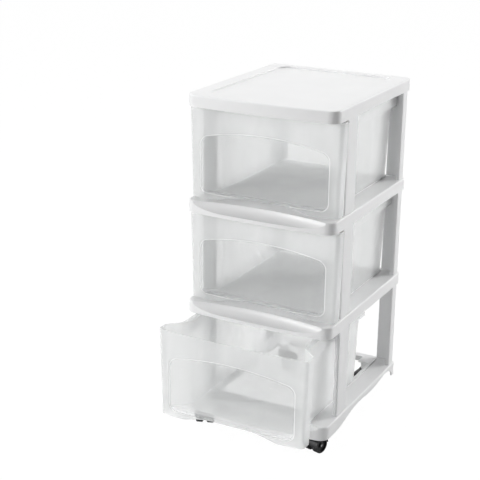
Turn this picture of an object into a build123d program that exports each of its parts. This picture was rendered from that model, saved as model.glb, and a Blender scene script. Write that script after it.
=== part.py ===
from build123d import *
import math
import os

# Plastic drawer tower: a white frame on four twin-wheel casters, with three frosted drawers.
# Lengths are in mm.  X is the width, the drawers pull out towards -Y, and Z is up from the floor.

# ---- driving dimensions ----
frame_width = 300.0
frame_depth = 356.0
front_bow = 8.0             # how far the middle of each front edge stands ahead of its ends
front_corner_radius = 20.0
rear_corner_radius = 13.0
tier_pitch = 200.0          # from one band to the next
band_height = 23.0          # skirt of the cover, the shelves and the base
band_lift = 38.0            # floor to the underside of the base band
wall = 3.0                  # decks and skirts
edge_round = 3.0            # rounded upper edge of each band
contact_gap = 0.3           # between curved or sliding faces that stay close

cover_rim_side = 30.0
cover_rim_front = 24.0
cover_rim_rear = 20.0
cover_sink = 3.0
cover_panel_radius = 24.0
rib_thickness = 2.0
rib_depth = 8.0

scoop_depth = 16.0          # how far the finger scoop bites into the front edge
scoop_inset = 18.0          # from the frame's side to the end of the scoop
nose_height = 7.0           # thin lip left below the scoop
nose_land = 6.0             # flat top of that lip, ahead of the hollow
runner_width = 6.0
runner_height = 3.0

ring_width = 42.0           # side rails of the base
ring_front = 50.0
ring_rear = 18.0
ring_lip = 7.0
ring_radius = 12.0
foot_drop = 4.0             # feet reach this far below the base band
arch_rise = 11.0            # the side skirts arch up this far above the band's underside
rear_arch = 5.0
foot_front = 52.0
foot_rear = 20.0

post_thickness = 3.0
front_post_gap = 0.8        # between a drawer's slanted wall and the front post's flange
front_post_length = 44.0
front_post_turn = 11.0      # how far the post's slanted front flange reaches inwards
post_edge = 3.4             # rounding of a post's front edge
post_lip = 8.0
rear_post_length = 30.0
rear_post_width = 37.0
tenon_depth = 2.6           # less than a deck's thickness
tenon_margin = 4.0
tenon_shoulder = 0.5
tenon_fit = 0.2

drawer_setback = 20.0       # from the frame's front edge to the drawer front
drawer_bow = 7.0
drawer_proud = 3.5          # the front stands this far outside the frame's sides
drawer_draft = 5.0          # each side of a drawer narrows this much down its height
drawer_front_radius = 8.0
return_depth = 25.0         # the front wraps round the sides this far
box_inset = 30.0            # from the frame's side to the drawer's box
step_length = 30.0          # the stretch in which the side wall steps in to the box
step_outer_radius = 6.0
step_inner_radius = 30.0
rim_overhang = 9.5
rim_rear_overhang = 3.0
rim_height = 29.0
drawer_rear_gap = 9.0       # from the drawer's rim to the back of the frame
drawer_rear_radius = 14.0
drawer_wall = 2.2
drawer_headroom = 2.5
drawer_front_drop = 2.0     # the front's lower edge above the band
pull_arch = 12.0            # rise of the arched lower edge
pull_inset = 38.0           # from the frame's side to the end of the arch
window_inset = 19.0         # from the frame's side to the window
window_low = 12.0
window_side_top = 119.0
window_crown = 17.0
window_radius = 16.0
window_sink = 0.9
drawer_out = 115.0          # the bottom drawer stands pulled out this far

stem_radius = 4.0
stem_in_neck = 12.0
stem_collar_radius = 7.0
stem_collar = 2.0
socket_radius = 9.0
front_caster_inset = 27.0        # from the frame's side to the stem
front_caster_setback = 33.0      # from the front edge to the stem
rear_caster_inset = 55.0
rear_caster_setback = 32.0
swivel_front_left = -70.0        # where each caster's wheels trail to, in degrees from +X
swivel_front_right = -105.0
swivel_rear_left = 20.0
swivel_rear_right = 175.0
wheel_radius = 16.0
wheel_width = 12.5
wheel_round = 1.6
wheel_dish = 3.5            # depth of the dished outer face, and the width of the rim round it
wheel_boss = 5.0
caster_trail = 12.0
hub_width = 8.0
axle_radius = 2.5
running_gap = 0.08
wheel_side_gap = 0.6
fender_gap = 0.5
fender_thickness = 1.0
neck_radius = 12.0
neck_round = 2.5
neck_top = 44.0

# ---- sizes worked out from them ----
half_w = frame_width / 2
half_d = frame_depth / 2
band_low = [band_lift + i * tier_pitch for i in range(4)]
drawer_z = [z + band_height for z in band_low[:3]]
front_face = half_d - drawer_setback
return_end = front_face - return_depth
box_start = return_end - step_length
drawer_half_width = half_w + drawer_proud
box_half_width = half_w - box_inset
rim_half_width = box_half_width + rim_overhang
rim_rear = half_d - drawer_rear_gap
box_rear = rim_rear - rim_rear_overhang
scoop_half_width = half_w - scoop_inset
pull_half_width = half_w - pull_inset
window_half_width = half_w - window_inset
drawer_top = tier_pitch - band_height - drawer_headroom
rim_low = drawer_top - rim_height
floor_low = runner_height + contact_gap
post_inset = wall + contact_gap
runner_x = half_w - ring_width + runner_width / 2
step_slope = (drawer_half_width - box_half_width) / step_length
slant = math.hypot(1, 1 / step_slope)    # along Y, for each mm square to the slanted wall
fender_radius = wheel_radius + fender_gap + fender_thickness
shift_y = (front_face + drawer_bow + drawer_out - half_d) / 2


def plan(inset):
    """Outline of a band: a rectangle with a bowed front edge and rounded corners."""
    x = half_w - inset
    y = half_d - inset
    with BuildSketch() as sketch:
        with BuildLine():
            Line((-x, -y), (-x, y))
            Line((-x, y), (x, y))
            Line((x, y), (x, -y))
            ThreePointArc((x, -y), (0, -y - front_bow), (-x, -y))
        make_face()
        corners = sketch.vertices().sort_by(Axis.Y)
        fillet(corners[:2], front_corner_radius - inset)
        corners = sketch.vertices().sort_by(Axis.Y)
        fillet(corners[-2:], rear_corner_radius - inset)
    return sketch.sketch


def band(low, height, inset=0.0):
    """A block with the band's outline."""
    return extrude(Pos(0, 0, low) * plan(inset), height)


def rounded_band(low, height):
    """The band's block with its upper edge rounded."""
    block = band(low, height)
    top = block.faces().sort_by(Axis.Z)[-1]
    return fillet(top.edges(), edge_round)


def block(x0, x1, y0, y1, z0, z1):
    """A box between two corners."""
    return Pos((x0 + x1) / 2, (y0 + y1) / 2, (z0 + z1) / 2) * Box(x1 - x0, y1 - y0, z1 - z0)


def disc(low, grow):
    """Cutter of the finger scoop: a wide disc ahead of the band, with a hollow-ground edge."""
    chord = scoop_half_width
    radius = (chord ** 2 + scoop_depth ** 2) / (2 * scoop_depth)
    centre_y = -half_d + scoop_depth - radius
    top = low + band_height - grow
    nose = low + nose_height - grow
    ceiling = low + band_height + wall
    r_top = radius + grow
    r_land = r_top - scoop_depth - front_bow + nose_land
    middle = (r_top - 0.32 * (r_top - r_land), nose + 0.32 * (top - nose))
    with BuildSketch(Plane.XZ) as profile:
        with BuildLine():
            Line((0, nose), (r_land, nose))
            ThreePointArc((r_land, nose), middle, (r_top, top))
            Line((r_top, top), (r_top, ceiling))
            Line((r_top, ceiling), (0, ceiling))
            Line((0, ceiling), (0, nose))
        make_face()
    return Pos(0, centre_y, 0) * revolve(profile.sketch, Axis.Z)


def mirrored(shape):
    """The shape and its mirror image in the YZ plane."""
    return [shape, mirror(shape, Plane.YZ)]


# ---- posts ----
def front_post_section(side, grow=0.0, margin=0.0):
    """A flat outer plate, a front flange parallel to the drawer's slanted wall, and a lip behind."""
    t = post_thickness
    x = half_w - post_inset
    edge = x - post_edge
    tip = x - front_post_turn
    y0 = slanted_wall(edge) + front_post_gap * slant
    y1 = y0 + front_post_length
    if grow or margin:
        return Pos(side * (x - t / 2), (y0 + y1) / 2) * Rectangle(
            t - 2 * tenon_shoulder + 2 * grow, front_post_length - 2 * margin + 2 * grow)
    thick = t * slant
    tip_y = slanted_wall(tip) + front_post_gap * slant
    bend_y = slanted_wall(x - t) + front_post_gap * slant + thick
    points = [(x, y0), (x, y1), (x - post_lip, y1), (x - post_lip, y1 - t), (x - t, y1 - t),
              (x - t, bend_y), (tip, tip_y + thick), (tip, tip_y), (edge, y0)]
    section = make_face(Polyline(*[(side * px, py) for px, py in points], close=True))
    front = section.vertices().filter_by(lambda v: abs(abs(v.X) - x) < 0.01 and v.Y < y1 - 1)
    return fillet(front, post_edge - 0.1)


def slanted_wall(x):
    """Y of a drawer's slanted side wall at its top, where it stands x from the middle."""
    return -return_end + (drawer_half_width - x) / step_slope


def rear_post_section(side, grow=0.0, margin=0.0):
    """An angle at the rear corner, with a rounded corner and short lips."""
    t = post_thickness
    x = half_w - post_inset
    y = half_d - post_inset
    y0 = y - rear_post_length
    if grow or margin:
        length = rear_post_length - rear_corner_radius - 2 * margin
        return Pos(side * (x - t / 2), y0 + margin + length / 2) * Rectangle(
            t - 2 * tenon_shoulder + 2 * grow, length + 2 * grow)
    x0 = x - rear_post_width
    bend = rear_corner_radius - post_inset
    points = [(x, y0), (x, y), (x0, y), (x0, y - t), (x - t, y - t), (x - t, y0 + t),
              (x - post_lip, y0 + t), (x - post_lip, y0)]
    section = make_face(Polyline(*[(side * px, py) for px, py in points], close=True))
    section = fillet(section.vertices().filter_by(
        lambda v: abs(abs(v.X) - x) < 0.01 and abs(v.Y - y0) < 0.01), post_edge)
    section = fillet(section.vertices().filter_by(
        lambda v: abs(abs(v.X) - x) < 0.01 and abs(v.Y - y) < 0.01), bend)
    return fillet(section.vertices().filter_by(
        lambda v: abs(abs(v.X) - (x - t)) < 0.01 and abs(v.Y - y + t) < 0.01),
        bend - t)


def post(section, side, tier):
    """A post from the deck below to the underside of the deck above, with a tenon at its foot."""
    low = drawer_z[tier]
    height = tier_pitch - wall
    if tier == 2:
        height -= cover_sink
    tenon = section(side, 0.0, tenon_margin)
    return extrude(Pos(0, 0, low) * section(side), height) + extrude(
        Pos(0, 0, low - tenon_depth) * tenon, tenon_depth)


def sockets(low):
    """Slots in a deck for the tenons of the four posts that stand on it."""
    cuts = []
    for section in (front_post_section, rear_post_section):
        for side in (-1, 1):
            slot = section(side, tenon_fit, tenon_margin)
            cuts.append(extrude(Pos(0, 0, low) * slot, 2 * band_height))
    return cuts


# ---- frame ----
def top_cover():
    """Lid with a raised rim round a sunken panel, a skirt, and ribs underneath."""
    low = band_low[3]
    top = low + band_height
    cover = rounded_band(low, band_height)
    cavity_top = top - wall - cover_sink
    cavity = band(low - 1, cavity_top - low + 1, wall)
    y0 = -half_d + cover_rim_front
    y1 = half_d - cover_rim_rear
    width = frame_width - 2 * cover_rim_side
    panel = extrude(Pos(0, (y0 + y1) / 2, top - cover_sink) * RectangleRounded(
        width, y1 - y0, cover_panel_radius), 2 * cover_sink)
    ribs = [block(x - rib_thickness / 2, x + rib_thickness / 2, -half_d + wall, half_d - wall,
                  cavity_top - rib_depth, cavity_top) for x in (-width / 4, 0, width / 4)]
    ribs.append(block(-half_w + 2 * post_lip, half_w - 2 * post_lip, -rib_thickness / 2,
                      rib_thickness / 2, cavity_top - rib_depth, cavity_top))
    hollow = cavity - ribs
    return cover - hollow - panel


def shelf(tier):
    """Deck with a skirt, a finger scoop along its front, runners, and slots for the posts."""
    low = band_low[tier]
    top = low + band_height
    body = rounded_band(low, band_height) - disc(low, 0.0)
    cavity = band(low - 1, band_height - wall + 1, wall) - disc(low, wall)
    body = body - cavity
    body += runners(top)
    return body - sockets(low)


def runners(top):
    """Two ribs on a deck, which the drawer above slides on."""
    y0 = -box_start
    y1 = half_d - ring_rear
    return [block(x - runner_width / 2, x + runner_width / 2, y0, y1, top - wall / 2, top + runner_height)
            for x in (-runner_x, runner_x)]


def skirt_arch():
    """Cutter under the base that leaves a foot at each corner and arches the skirts between."""
    low = band_lift - foot_drop - 1
    level = band_lift - foot_drop
    rise = band_lift + arch_rise
    y0 = -half_d + foot_front
    y1 = half_d - foot_rear
    span = y1 - y0
    heel = band_lift + 1
    with BuildSketch(Plane.YZ) as side:
        with BuildLine():
            Spline((y0, level), (y0 + 0.22 * span, rise - 0.36 * arch_rise), (y0 + 0.42 * span, rise),
                   (y0 + 0.67 * span, rise - 0.18 * arch_rise), (y1, heel),
                   tangents=((1, 0.05), (0.7, -1)))
            Line((y1, heel), (y1, low))
            Line((y1, low), (y0, low))
            Line((y0, low), (y0, level))
        make_face()
    return extrude(side.sketch, half_w + 1, both=True)


def rear_opening():
    """Cutter under the rear rail."""
    x = half_w - foot_front
    return block(-x, x, half_d - ring_rear - 2 * wall, half_d + 1, band_lift - foot_drop - 1,
                 band_lift + rear_arch)


def base_frame():
    """Open ring with arched side skirts, corner plates and a socket for each caster."""
    low = band_lift - foot_drop
    top = band_lift + band_height
    height = band_height + foot_drop
    deck = top - wall
    body = rounded_band(low, height) - disc(band_lift, 0.0)
    cavity = band(low - 1, height - wall + 1, wall) - disc(band_lift, wall)
    body -= cavity
    body -= skirt_arch()
    y0 = -half_d + ring_front
    y1 = half_d - ring_rear
    x = half_w - ring_width
    window = Pos(0, (y0 + y1) / 2, low - 1) * RectangleRounded(2 * x, y1 - y0, ring_radius)
    corner = rear_caster_inset + socket_radius + wall
    plates = []
    for plate in mirrored(block(half_w - corner, half_w - wall, y1 - 2 * socket_radius - 2 * wall,
                                y1 + wall, deck, top)):
        plates.append(plate)
    opening = extrude(window, 2 * height)
    lip_outer = extrude(Pos(0, (y0 + y1) / 2, top - wall - ring_lip) * RectangleRounded(
        2 * x + 2 * wall, y1 - y0 + 2 * wall, ring_radius + wall), ring_lip)
    body = body + lip_outer - opening + plates
    body -= rear_opening()
    for x, y in caster_places():
        body += Pos(x, y, neck_top) * extrude(Circle(socket_radius), deck - neck_top)
        body -= Pos(x, y, neck_top - 1) * extrude(Circle(stem_radius + tenon_fit), deck - neck_top + 1)
    body += runners(top)
    return body - sockets(low - 1)


def caster_places():
    """The stem of each caster: front left, front right, rear left, rear right."""
    fx = half_w - front_caster_inset
    fy = -half_d + front_caster_setback
    rx = half_w - rear_caster_inset
    ry = half_d - rear_caster_setback
    return [(-fx, fy), (fx, fy), (-rx, ry), (rx, ry)]


# ---- drawers ----
def drawer_plan(half, box, rear, t):
    """Outline of a drawer at one height, drawn in by the wall thickness t."""
    front = -front_face + t
    step = -return_end - t * 0.4
    narrow = step + (half - box) / step_slope
    w = half - t
    s = box - t
    back = rear - t
    inner_radius = step_inner_radius - max(0.0, box - box_half_width)
    with BuildSketch() as sketch:
        with BuildLine():
            Polyline((w, front), (w, step), (s, narrow), (s, back), (-s, back), (-s, narrow),
                     (-w, step), (-w, front))
            ThreePointArc((-w, front), (0, front - drawer_bow), (w, front))
        make_face()

        def at(px, py):
            return sketch.vertices().filter_by(
                lambda v: abs(abs(v.X) - px) < 0.01 and abs(v.Y - py) < 0.01)

        fillet(at(w, front), drawer_front_radius - t)
        fillet(at(w, step), step_outer_radius - t)
        fillet(at(s, narrow), inner_radius + t)
        fillet(at(s, back), drawer_rear_radius - t)
    return sketch.sketch


def drawer_shell(z0, z1, t, box_low, box_high, rear_low, rear_high):
    """Loft of the drawer's outline between two heights."""
    def half_at(z):
        return drawer_half_width - drawer_draft * (drawer_top - z) / drawer_top
    bottom = Pos(0, 0, z0) * drawer_plan(half_at(z0), box_low, rear_low, t)
    top = Pos(0, 0, z1) * drawer_plan(half_at(z1), box_high, rear_high, t)
    return loft([bottom.faces()[0], top.faces()[0]], ruled=True)


def finger_arch():
    """Cutter for the arched lower edge: an arch across the front, sloping away behind it."""
    x = pull_half_width
    rise = drawer_front_drop + pull_arch
    with BuildSketch(Plane.XZ) as arch:
        with BuildLine():
            Spline((-x, 0), (-x * 0.55, rise * 0.82), (0, rise), (x * 0.55, rise * 0.82), (x, 0),
                   tangents=((1, 0.12), (1, -0.12)))
            Line((x, 0), (x, -1))
            Line((x, -1), (-x, -1))
            Line((-x, -1), (-x, 0))
        make_face()
    across = extrude(arch.sketch, half_d + front_bow)
    front = -front_face - drawer_bow - 1
    inner = -front_face + drawer_wall
    with BuildSketch(Plane.YZ) as slope:
        with BuildLine():
            Polyline((front, -2), (front, rise + 1), (inner, rise + 1), (inner + 2 * rise, floor_low),
                     (inner + 2 * rise, -2), (front, -2))
        make_face()
    return across & extrude(slope.sketch, drawer_half_width, both=True)


def front_wedge():
    """Filled corner between a drawer's floor and its front, which clears the arched edge."""
    rise = drawer_front_drop + pull_arch + drawer_wall
    inner = -front_face + drawer_wall
    ahead = -half_d - front_bow
    behind = inner + 2 * rise + 1
    low = floor_low
    with BuildSketch(Plane.YZ) as slope:
        with BuildLine():
            Polyline((ahead, low), (ahead, rise), (inner + 1, rise + 1), (behind, low + drawer_wall),
                     (behind, low), (ahead, low))
        make_face()
    return extrude(slope.sketch, drawer_half_width, both=True)


def window_outline(grow):
    """Rounded rectangle with an arched top, on the drawer's front."""
    x = window_half_width + grow
    low = window_low - grow
    side = window_side_top + grow
    with BuildSketch(Plane.XZ) as outline:
        with BuildLine():
            Polyline((-x, side), (-x, low), (x, low), (x, side))
            ThreePointArc((x, side), (0, side + window_crown), (-x, side))
        make_face()
        fillet(outline.vertices(), window_radius)
    return outline.sketch


def drawer(tier, out):
    """One moulding: wrapped front, stepped side walls, turned-down rim, arched lower edge."""
    z = drawer_z[tier]
    box = box_half_width
    draft = drawer_draft
    rear = box_rear
    side = drawer_half_width + 1
    body = drawer_shell(floor_low, drawer_top, 0.0, box - draft, box, rear - draft, rear)
    skirt = drawer_shell(drawer_front_drop, floor_low + 1, 0.0, box - draft, box - draft,
                         rear - draft, rear - draft)
    skirt &= block(-side, side, -half_d, -return_end + drawer_wall, 0, 2 * floor_low)
    rim = drawer_shell(rim_low, drawer_top, 0.0, rim_half_width, rim_half_width, rim_rear, rim_rear)
    channel = drawer_shell(rim_low - 1, drawer_top - drawer_wall, drawer_wall, rim_half_width,
                           rim_half_width, rim_rear, rim_rear)
    channel &= block(-side, side, -box_start + step_outer_radius, half_d, 0, drawer_top)
    inside = drawer_shell(floor_low + drawer_wall, drawer_top + 1, drawer_wall, box - draft, box,
                          rear - draft, rear)
    hollow = drawer_shell(drawer_front_drop - 1, floor_low, drawer_wall, box - draft, box - draft,
                          rear - draft, rear - draft)
    shape = (rim - channel) + body + (skirt - hollow)
    shape = shape - (inside - front_wedge()) - finger_arch()
    front = -front_face
    recess = extrude(Pos(0, front, 0) * window_outline(0), 2 * drawer_bow, both=True)
    sunk = drawer_shell(1, drawer_top - 1, window_sink, box - draft, box, rear - draft, rear)
    recess = recess - sunk
    shape = shape - recess
    return Pos(0, -out, z) * shape


# ---- casters ----
def hood():
    """Caster body: a hub between the wheels, two fenders over them and a neck on the stem."""
    x = caster_trail
    r = fender_radius
    width = hub_width + 2 * wheel_width + 4 * wheel_side_gap
    far = x + 2 * r
    side = width / 2 + 1
    hub = Pos(x, 0, wheel_radius) * Rot(90, 0, 0) * Cylinder(wheel_radius - wheel_dish, hub_width)
    shell = Pos(x, 0, wheel_radius) * Rot(90, 0, 0) * Cylinder(r, width)
    inner = Pos(x, 0, wheel_radius) * Rot(90, 0, 0) * Cylinder(wheel_radius + fender_gap, 2 * side)
    cap = shell - inner
    cap &= block(-far, far, -side, side, wheel_radius + 1.5, wheel_radius + r + 1)
    web = Pos(x, 0, wheel_radius) * Rot(90, 0, 0) * Cylinder(wheel_radius + 1, hub_width)
    web &= block(-far, x + wheel_radius / 2, -side, side, wheel_radius - 4, neck_top)
    neck_low = 2 * wheel_radius - stem_collar
    neck_height = neck_top - contact_gap - neck_low
    neck = Pos(0, 0, neck_low) * extrude(Circle(neck_radius), neck_height)
    neck = fillet(neck.edges().sort_by(Axis.Z)[-1:], neck_round)
    keep_out = wheels_block(wheel_side_gap)
    body = cap + web + hub + (neck - keep_out)
    bore = Pos(0, 0, neck_top - stem_in_neck - 1) * extrude(
        Circle(stem_radius + running_gap), neck_top)
    seat = Pos(0, 0, neck_top - stem_collar - contact_gap) * extrude(
        Circle(stem_collar_radius + contact_gap), neck_top)
    axle_bore = Pos(x, 0, wheel_radius) * Rot(90, 0, 0) * Cylinder(axle_radius, 2 * side)
    return body - bore - seat - axle_bore


def wheels_block(gap):
    """The space that the two wheels turn in."""
    both = []
    offset = hub_width / 2 + gap + wheel_width / 2
    for side in (-1, 1):
        both.append(Pos(caster_trail, side * offset, wheel_radius) * Rot(90, 0, 0) * Cylinder(
            wheel_radius + gap, wheel_width + 2 * gap))
    return both


def stem():
    """Steel stem: a collar that sits in the neck, and a shank that snaps into the base."""
    foot = neck_top - stem_in_neck
    top = band_lift + band_height - wall - contact_gap
    shank = Pos(0, 0, foot) * extrude(Circle(stem_radius), top - foot)
    shank = chamfer(shank.edges().sort_by(Axis.Z)[-1:], 0.8)
    collar = Pos(0, 0, neck_top - stem_collar) * extrude(Circle(stem_collar_radius), stem_collar)
    return shank + collar


def axle():
    """Pin through the hub, which carries both wheels."""
    length = hub_width + 2 * wheel_width
    return Pos(caster_trail, 0, wheel_radius) * Rot(90, 0, 0) * Cylinder(axle_radius, length)


def wheel(side):
    """One wheel: a rounded tread, a dished outer face and a bore for the axle."""
    offset = side * (hub_width / 2 + wheel_side_gap + wheel_width / 2)
    tyre = Cylinder(wheel_radius, wheel_width)
    tyre = fillet(tyre.edges().filter_by(GeomType.CIRCLE), wheel_round)
    dish = Pos(0, 0, wheel_width / 2) * (Cylinder(wheel_radius - wheel_dish, 2 * wheel_dish) -
                                         Cylinder(wheel_boss, 2 * wheel_dish))
    body = tyre - dish - Cylinder(axle_radius + running_gap, wheel_width + 2)
    return Pos(caster_trail, offset, wheel_radius) * Rot(-side * 90, 0, 0) * body


def export(shape, name):
    """Writes one node, moved so that the part's origin is under the middle of its box."""
    placed = Pos(0, shift_y, 0) * shape
    export_step(Part() + placed if isinstance(placed, ShapeList) else placed, f"parts/{name}.step")


def main():
    os.makedirs("parts", exist_ok=True)
    export(top_cover(), "top_cover")
    export(shelf(2), "upper_shelf")
    export(shelf(1), "lower_shelf")
    export(base_frame(), "base_frame")
    for tier, level in enumerate(("bottom", "middle", "top")):
        for side, hand in ((-1, "left"), (1, "right")):
            export(post(front_post_section, side, tier), f"{level}_front_{hand}_post")
            export(post(rear_post_section, side, tier), f"{level}_rear_{hand}_post")
        export(drawer(tier, drawer_out if tier == 0 else 0.0), f"{level}_drawer")
    places = caster_places()
    turns = (swivel_front_left, swivel_front_right, swivel_rear_left, swivel_rear_right)
    for place, turn, corner in zip(places, turns, ("front_left", "front_right", "rear_left", "rear_right")):
        at = Pos(place[0], place[1], 0) * Rot(0, 0, turn)
        export(at * hood(), f"{corner}_caster_hood")
        export(at * stem(), f"{corner}_caster_stem")
        export(at * axle(), f"{corner}_caster_axle")
        export(at * wheel(-1), f"{corner}_caster_inner_wheel")
        export(at * wheel(1), f"{corner}_caster_outer_wheel")


main()
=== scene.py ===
import math

import bpy
import numpy as np
from mathutils import Matrix, Vector


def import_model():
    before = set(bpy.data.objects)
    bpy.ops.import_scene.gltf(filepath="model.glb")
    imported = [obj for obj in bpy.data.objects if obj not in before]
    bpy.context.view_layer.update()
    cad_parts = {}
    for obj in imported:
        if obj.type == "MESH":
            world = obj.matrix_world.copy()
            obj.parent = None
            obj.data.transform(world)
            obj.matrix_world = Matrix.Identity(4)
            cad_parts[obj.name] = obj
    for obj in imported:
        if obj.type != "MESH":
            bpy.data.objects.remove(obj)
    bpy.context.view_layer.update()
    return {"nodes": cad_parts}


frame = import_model()

# ---- sizes shared with the solids, in metres ----
BASE = 0.038                # underside of the base band, above the floor
DECK = 0.061                # top of the base band, where the bottom drawer stands
PITCH = 0.200               # from one tier to the next
CENTRE_Y = 0.051            # middle of the white frame, front to back
FRONT_FACE = 0.158          # from there to the sides of a closed drawer's front face
FRONT = CENTRE_Y - FRONT_FACE
DRAWER_OUT = 0.115          # the bottom drawer stands pulled out this far

# ---- the window in a drawer's front, in metres ----
WINDOW_HALF = 0.131                 # from the middle to its side
WINDOW_LOW = 0.012                  # lower edge, above the deck
WINDOW_TOP = 0.136                  # upper edge above the deck, in the middle
WINDOW_CROWN = 0.017                # how much lower the upper edge is at the sides
WINDOW_RADIUS = 0.016               # of its corners
POLISH_FADE = (-0.0030, -0.0022)    # the polish fades out between these, counted outwards from the outline
BEAD_AND_HIGHLIGHT_INSET = 0.0010                 # a moulded bead runs this far inside the outline, drawn as a lighter ring that is partly a painted highlight
BEAD_AND_HIGHLIGHT_FADE = (0.0006, 0.0014)        # it fades out between these distances from its line
FRONT_SKIN = (0.004, 0.006)         # polish, and the bead with its painted highlight, fade out between these depths behind FRONT

# ---- finishes ----
RISE, FALL = (0.0, 1.0), (1.0, 0.0)
NOISE_SPAN = (0.3, 0.7)             # where most of the noise lies
SKIN_DEPTH = 0.0002                 # of the grain on all plastics, in metres
FLOW_SHADE = 0.985                  # the darker streaks of the white, as a share of its tone
DUST_GAIN = 1.8                     # the dusty patches of the black, as a share of its tone
FROSTED_TONES = (0.975, 0.985, 0.985, 1), (0.988, 0.995, 0.995, 1)      # of the mottle
WINDOW_TONE = (0.975, 0.988, 0.988, 1)
FROSTED_ROUGHNESS = 0.50
WINDOW_POLISH = 0.30                # how much less rough the window is
FROSTED_VEIL = (0.45, 0.50)         # how much the frosted wall hides
WINDOW_CLEARING = 0.32              # how much less the window hides
BEAD_AND_HIGHLIGHT_VEIL = 0.22                    # how much more the bead hides, which makes a lighter ring: partly the thicker moulded bead, partly a painted highlight


class Shader:
    """A material's node tree, with short calls for the nodes that the finishes use."""

    def __init__(self, name):
        self.material = bpy.data.materials.new(name)
        self.material.use_nodes = True
        self.tree = self.material.node_tree
        self.tree.nodes.clear()
        self.out = self.tree.nodes.new("ShaderNodeOutputMaterial")
        self.body = self.tree.nodes.new("ShaderNodeBsdfPrincipled")
        self.link(self.body.outputs[0], self.out.inputs[0])
        self.place = self.tree.nodes.new("ShaderNodeTexCoord").outputs["Object"]

    def link(self, output, socket):
        self.tree.links.new(output, socket)

    def fill(self, socket, value):
        """Link a node's output to the socket, or set the socket to a plain value."""
        if hasattr(value, "is_output"):
            self.link(value, socket)
        else:
            socket.default_value = value

    def math(self, kind, a, b=0.0):
        """One step of arithmetic."""
        node = self.tree.nodes.new("ShaderNodeMath")
        node.operation = kind
        for socket, value in zip(node.inputs, (a, b)):
            self.fill(socket, value)
        return node.outputs[0]

    def noise(self, scale, detail=2.0, stretch=(1, 1, 1)):
        """Noise on object coordinates."""
        mapping = self.tree.nodes.new("ShaderNodeMapping")
        mapping.inputs["Scale"].default_value = stretch
        self.link(self.place, mapping.inputs[0])
        node = self.tree.nodes.new("ShaderNodeTexNoise")
        node.inputs["Scale"].default_value = scale
        node.inputs["Detail"].default_value = detail
        self.link(mapping.outputs[0], node.inputs["Vector"])
        return node.outputs["Fac"]

    def spread(self, value, source, result):
        """Smooth step that takes the range source to the range result."""
        node = self.tree.nodes.new("ShaderNodeMapRange")
        for socket, part in zip(node.inputs, (value, *source, *result)):
            self.fill(socket, part)
        node.interpolation_type = "SMOOTHSTEP"
        return node.outputs[0]

    def mix(self, factor, a, b):
        """Colour a where factor is 0, colour b where it is 1."""
        node = self.tree.nodes.new("ShaderNodeMix")
        node.data_type = "RGBA"
        self.fill(node.inputs["Factor"], factor)
        self.fill(node.inputs["A"], a)
        self.fill(node.inputs["B"], b)
        return node.outputs["Result"]

    def axes(self):
        """The object coordinates, as x, y and z."""
        node = self.tree.nodes.new("ShaderNodeSeparateXYZ")
        self.link(self.place, node.inputs[0])
        return node.outputs

    def bump(self, height, strength):
        """Raise the skin by height, a share of SKIN_DEPTH."""
        node = self.tree.nodes.new("ShaderNodeBump")
        node.inputs["Strength"].default_value = strength
        node.inputs["Distance"].default_value = SKIN_DEPTH
        self.fill(node.inputs["Height"], height)
        self.link(node.outputs[0], self.body.inputs["Normal"])

    def set(self, **values):
        """Fill the shader's own sockets, each named with _ for a space."""
        for key, value in values.items():
            self.fill(self.body.inputs[key.replace("_", " ")], value)


def moulded_white(name, tone, roughness):
    """Injection-moulded white: a faint flow mottle, uneven gloss and a fine orange-peel skin."""
    look = Shader(name)
    flow = look.spread(look.noise(scale=9.0, detail=3.0, stretch=(1, 1, 0.5)), (0.35, 0.65), RISE)
    gloss = look.noise(scale=30.0, detail=4.0)
    streak = tuple(level * FLOW_SHADE for level in tone)
    look.set(Base_Color=look.mix(flow, (*streak, 1), (*tone, 1)))
    look.set(Roughness=look.spread(gloss, NOISE_SPAN, (roughness - 0.05, roughness + 0.06)))
    look.set(IOR=1.49)
    look.bump(look.noise(scale=900.0), strength=0.12)
    return look.material


def window_edge(look, x, z):
    """About how far a place on a drawer's front lies past the window's outline, below 0 inside it.

    The outline lies WINDOW_RADIUS outside an inner shape with sharp corners. The window's upper edge falls by
    WINDOW_CROWN times the square of x over WINDOW_HALF.
    """
    level = look.math("MODULO", look.math("SUBTRACT", z, DECK), PITCH)
    across = look.math("DIVIDE", x, WINDOW_HALF)
    crown = look.math("MULTIPLY", look.math("POWER", across, 2.0), WINDOW_CROWN)
    top = look.math("SUBTRACT", WINDOW_TOP, crown)
    middle = look.math("MULTIPLY", look.math("ADD", top, WINDOW_LOW), 0.5)
    inner_half = look.math("SUBTRACT", look.math("SUBTRACT", top, middle), WINDOW_RADIUS)
    past_side = look.math("SUBTRACT", look.math("ABSOLUTE", x), WINDOW_HALF - WINDOW_RADIUS)
    from_middle = look.math("ABSOLUTE", look.math("SUBTRACT", level, middle))
    past_end = look.math("SUBTRACT", from_middle, inner_half)
    round_x = look.math("POWER", look.math("MAXIMUM", past_side, 0.0), 2.0)
    round_z = look.math("POWER", look.math("MAXIMUM", past_end, 0.0), 2.0)
    corner = look.math("SQRT", look.math("ADD", round_x, round_z))
    within = look.math("MINIMUM", look.math("MAXIMUM", past_side, past_end), 0.0)
    return look.math("SUBTRACT", look.math("ADD", corner, within), WINDOW_RADIUS)


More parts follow.
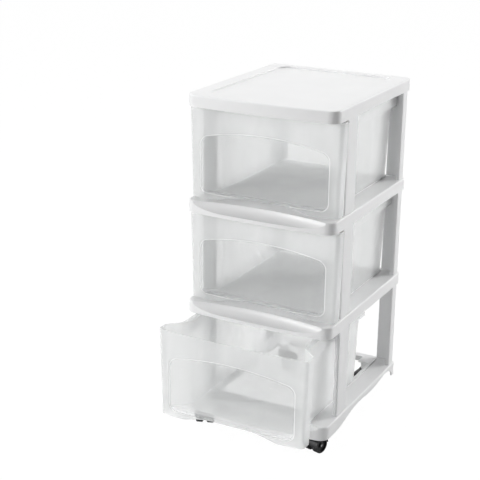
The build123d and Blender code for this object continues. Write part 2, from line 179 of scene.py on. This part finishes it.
def frosted_drawer(name, out):
    """Frosted polypropylene with a polished clear window in the front, ringed by a lighter bead that is
    partly a painted highlight.

    The drawer stands out by out.
    """
    look = Shader(name)
    x, y, z = look.axes()
    edge = window_edge(look, x, z)
    near = look.spread(y, [FRONT - out + depth for depth in FRONT_SKIN], FALL)
    window = look.math("MULTIPLY", look.spread(edge, POLISH_FADE, FALL), near)
    # the bead ring is drawn less clear and so lighter: partly the thicker moulded bead, partly a painted
    # highlight along the window's edge
    from_bead_and_highlight = look.math("ABSOLUTE", look.math("ADD", edge, BEAD_AND_HIGHLIGHT_INSET))
    bead_and_highlight = look.math("MULTIPLY", look.spread(from_bead_and_highlight, BEAD_AND_HIGHLIGHT_FADE, FALL), near)
    mottle = look.spread(look.noise(scale=14.0, detail=3.0, stretch=(1, 1, 0.4)), NOISE_SPAN, RISE)
    look.set(Base_Color=look.mix(window, look.mix(mottle, *FROSTED_TONES), WINDOW_TONE))
    look.set(Roughness=look.math("ADD", look.math("MULTIPLY", window, -WINDOW_POLISH), FROSTED_ROUGHNESS))
    clearing = look.math("MULTIPLY", window, -WINDOW_CLEARING)
    veil = look.math("ADD", clearing, look.spread(mottle, RISE, FROSTED_VEIL))
    # the extra cover on the ring paints a highlight around the window, besides the bead's own thickness
    look.set(Alpha=look.math("ADD", veil, look.math("MULTIPLY", bead_and_highlight, BEAD_AND_HIGHLIGHT_VEIL)))
    look.set(Transmission_Weight=0.45, IOR=1.35)
    grain = look.noise(scale=1400.0)
    look.bump(look.math("MULTIPLY", grain, look.math("SUBTRACT", 1.0, window)), strength=0.15)
    return look.material


def black_plastic(name, tone, roughness):
    """Moulded black nylon: a fine grain, uneven gloss and small dusty patches."""
    look = Shader(name)
    dust = look.spread(look.noise(scale=120.0, detail=3.0), (0.3, 0.75), RISE)
    gloss = look.noise(scale=60.0)
    dusty = tuple(level * DUST_GAIN for level in tone)
    look.set(Base_Color=look.mix(dust, (*tone, 1), (*dusty, 1)))
    look.set(Roughness=look.spread(gloss, NOISE_SPAN, (roughness - 0.06, roughness + 0.08)))
    look.bump(look.noise(scale=1600.0, detail=3.0), strength=0.25)
    return look.material


def plated_steel(name):
    """Zinc-plated steel, its gloss uneven in fine level marks, as turning leaves on an upright stem."""
    look = Shader(name)
    marks = look.noise(scale=300.0, stretch=(0.2, 0.2, 6.0))
    look.set(Base_Color=(0.62, 0.62, 0.64, 1), Metallic=1.0)
    look.set(Roughness=look.spread(marks, NOISE_SPAN, (0.22, 0.36)))
    return look.material


WHITE_FRAME = moulded_white("white_frame_finish", tone=(0.91, 0.912, 0.915), roughness=0.36)
WHITE_POST = moulded_white("white_post_finish", tone=(0.89, 0.893, 0.897), roughness=0.40)
FROSTED = frosted_drawer("frosted_finish", out=0.0)
FROSTED_OUT = frosted_drawer("frosted_finish_pulled_out", out=DRAWER_OUT)
CASTER_BLACK = black_plastic("caster_black_finish", tone=(0.012, 0.012, 0.013), roughness=0.42)
WHEEL_BLACK = black_plastic("wheel_black_finish", tone=(0.010, 0.010, 0.011), roughness=0.50)
STEEL = plated_steel("caster_steel_finish")

# the first ending that fits a node's name gives its finish
FINISHES = (("_post", WHITE_POST), ("bottom_drawer", FROSTED_OUT), ("_drawer", FROSTED),
            ("_wheel", WHEEL_BLACK), ("_hood", CASTER_BLACK), ("_axle", STEEL), ("_stem", STEEL))


def finish_of(node):
    """The finish of a node. No ending fits the cover, the shelves and the base, which are white frame."""
    for ending, finish in FINISHES:
        if node.endswith(ending):
            return finish
    return WHITE_FRAME


for node, piece in frame["nodes"].items():
    for slot in piece.material_slots:
        slot.link = "OBJECT"
        slot.material = finish_of(node)


# ---- stage ----
FLOOR_RINGS = np.array([0.5, 1.0, 2.0, 4.0, 8.0])       # radii, in metres
FLOOR_SPOKES = 64
FLOOR_TONE = (0.74, 0.74, 0.74, 1)                      # of the shaded floor
PAPER_TONES = (1.03, 1.03, 1.03, 1), (1.05, 1.05, 1.05, 1)      # above 1, to make up for the shaded share
PAPER_SHARE = 0.94          # of the plain paper in what the camera sees; the rest is the shaded floor

SEEN_TONE = (1.0, 1.0, 1.0, 1)                          # surroundings, as they are seen
LIGHT_TONE = (0.8, 0.8, 0.8, 1)                         # surroundings, as they light the part
DIM_SIDE = (0.70, -0.71, 0.0)                           # towards the front right
DIM_RANGE = (0.0, 0.7)                                  # how far a direction points to that side
DIM_STRENGTH = (0.52, 0.04)                             # strength of the light at those two

SENSOR = 36.0               # width of the camera's sensor, in millimetres
PHOTO_WIDTH = 480.0         # of the photo, in pixels
FOCAL_LENGTH = 1199.694     # of the photo, in pixels
FAR_LIMIT = 50.0            # nothing past this is drawn, in metres
VIEW_TURN = 27.917          # to the right of straight ahead, in degrees
VIEW_TILT = 18.732          # above level, in degrees
VIEW_ROLL = 0.720           # the camera's right side is raised, in degrees
VIEW_DISTANCE = 2.410865    # from the camera to the point that it looks at, in metres
VIEW_AIM = (-0.129373, CENTRE_Y, BASE + 0.294291)       # that point, left of the tower's middle


def floor_mesh():
    """Flat disc: the point on the ring of radius r and the spoke of turn a lies at (r cos a, r sin a, 0).

    One more point closes the middle.
    """
    turns = np.linspace(0, 2 * math.pi, FLOOR_SPOKES, endpoint=False)
    ring, spoke = np.meshgrid(FLOOR_RINGS, turns, indexing="ij")
    grid = np.stack((ring * np.cos(spoke), ring * np.sin(spoke), 0 * ring), axis=-1)
    points = np.vstack((np.zeros((1, 3)), grid.reshape(-1, 3)))
    here = np.arange(FLOOR_SPOKES)
    after = (here + 1) % FLOOR_SPOKES
    start = 1 + FLOOR_SPOKES * np.arange(len(FLOOR_RINGS) - 1)[:, None]
    end = start + FLOOR_SPOKES
    inner = np.stack((0 * here, 1 + here, 1 + after), axis=-1)
    outer = np.stack((start + here, end + here, end + after, start + after), axis=-1)
    mesh = bpy.data.meshes.new("studio_floor")
    mesh.from_pydata(points.tolist(), [], inner.tolist() + outer.reshape(-1, 4).tolist())
    return mesh


def floor_finish():
    """Shaded grey floor that the camera sees almost only as plain pale paper."""
    look = Shader("studio_floor_finish")
    look.set(Base_Color=FLOOR_TONE, Roughness=0.7)
    paper = look.tree.nodes.new("ShaderNodeEmission")
    fibre = look.spread(look.noise(scale=40.0, detail=3.0), NOISE_SPAN, RISE)
    look.link(look.mix(fibre, *PAPER_TONES), paper.inputs[0])
    rays = look.tree.nodes.new("ShaderNodeLightPath").outputs
    seen = look.math("MAXIMUM", rays["Is Camera Ray"], rays["Is Transmission Ray"])
    blend = look.tree.nodes.new("ShaderNodeMixShader")
    look.link(look.math("MULTIPLY", seen, PAPER_SHARE), blend.inputs[0])
    look.link(look.body.outputs[0], blend.inputs[1])
    look.link(paper.outputs[0], blend.inputs[2])
    look.link(blend.outputs[0], look.out.inputs[0])
    return look.material


def floor():
    """Pale round floor, which isn't part of the object."""
    mesh = floor_mesh()
    mesh.materials.append(floor_finish())
    piece = bpy.data.objects.new("studio_floor", mesh)
    bpy.context.collection.objects.link(piece)


def world():
    """White surroundings, whose light on the part is weaker, and weakest from the front right."""
    scene = bpy.context.scene
    scene.world = bpy.data.worlds.new("studio")
    scene.world.use_nodes = True
    tree = scene.world.node_tree
    tree.nodes.clear()

    def larger(a, b):
        """The larger of two outputs."""
        node = tree.nodes.new("ShaderNodeMath")
        node.operation = "MAXIMUM"
        tree.links.new(a, node.inputs[0])
        tree.links.new(b, node.inputs[1])
        return node.outputs[0]

    toward = tree.nodes.new("ShaderNodeVectorMath")
    toward.operation = "DOT_PRODUCT"
    tree.links.new(tree.nodes.new("ShaderNodeTexCoord").outputs["Generated"], toward.inputs[0])
    toward.inputs[1].default_value = DIM_SIDE
    strength = tree.nodes.new("ShaderNodeMapRange")
    strength.interpolation_type = "SMOOTHSTEP"
    tree.links.new(toward.outputs["Value"], strength.inputs[0])
    for socket, value in zip(strength.inputs[1:5], DIM_RANGE + DIM_STRENGTH):
        socket.default_value = value
    light = tree.nodes.new("ShaderNodeBackground")
    light.inputs[0].default_value = LIGHT_TONE
    tree.links.new(strength.outputs[0], light.inputs[1])
    seen = tree.nodes.new("ShaderNodeBackground")
    seen.inputs[0].default_value = SEEN_TONE
    rays = tree.nodes.new("ShaderNodeLightPath").outputs
    mirrored = larger(rays["Is Glossy Ray"], rays["Is Transmission Ray"])
    blend = tree.nodes.new("ShaderNodeMixShader")
    tree.links.new(larger(rays["Is Camera Ray"], mirrored), blend.inputs[0])
    tree.links.new(light.outputs[0], blend.inputs[1])
    tree.links.new(seen.outputs[0], blend.inputs[2])
    out = tree.nodes.new("ShaderNodeOutputWorld")
    tree.links.new(blend.outputs[0], out.inputs[0])


def softbox(name, place, aim, size, watts):
    """Square area light that faces the point aim."""
    data = bpy.data.lights.new(name, "AREA")
    data.size = size
    data.energy = watts
    lamp = bpy.data.objects.new(name, data)
    lamp.location = place
    lamp.rotation_euler = (Vector(aim) - Vector(place)).to_track_quat("-Z", "Y").to_euler()
    bpy.context.collection.objects.link(lamp)


def camera():
    """Camera where the photo's perspective puts it."""
    turn, tilt, roll = (math.radians(angle) for angle in (VIEW_TURN, VIEW_TILT, VIEW_ROLL))
    forward = Vector((-math.sin(turn) * math.cos(tilt), math.cos(turn) * math.cos(tilt), -math.sin(tilt)))
    level = Vector((math.cos(turn), math.sin(turn), 0.0))
    rise = level.cross(forward)
    right = level * math.cos(roll) + rise * math.sin(roll)
    up = rise * math.cos(roll) - level * math.sin(roll)
    data = bpy.data.cameras.new("camera")
    data.sensor_width = SENSOR
    data.lens = SENSOR * FOCAL_LENGTH / PHOTO_WIDTH
    data.clip_end = FAR_LIMIT
    view = bpy.data.objects.new("camera", data)
    axes = Matrix((right, up, -forward)).transposed().to_4x4()
    view.matrix_world = Matrix.Translation(Vector(VIEW_AIM) - forward * VIEW_DISTANCE) @ axes
    bpy.context.collection.objects.link(view)
    bpy.context.scene.camera = view


floor()
world()
softbox("key_softbox", place=(-2.2, -2.55, 1.5), aim=(0, 0, 0.35), size=1.5, watts=70.0)
softbox("side_softbox", place=(2.1, 2.4, 1.3), aim=(0, 0, 0.35), size=1.4, watts=60.0)
softbox("top_softbox", place=(-0.2, 0.4, 3.0), aim=(0, 0, 0.3), size=1.4, watts=24.0)
camera()
bpy.context.scene.view_settings.view_transform = "Standard"
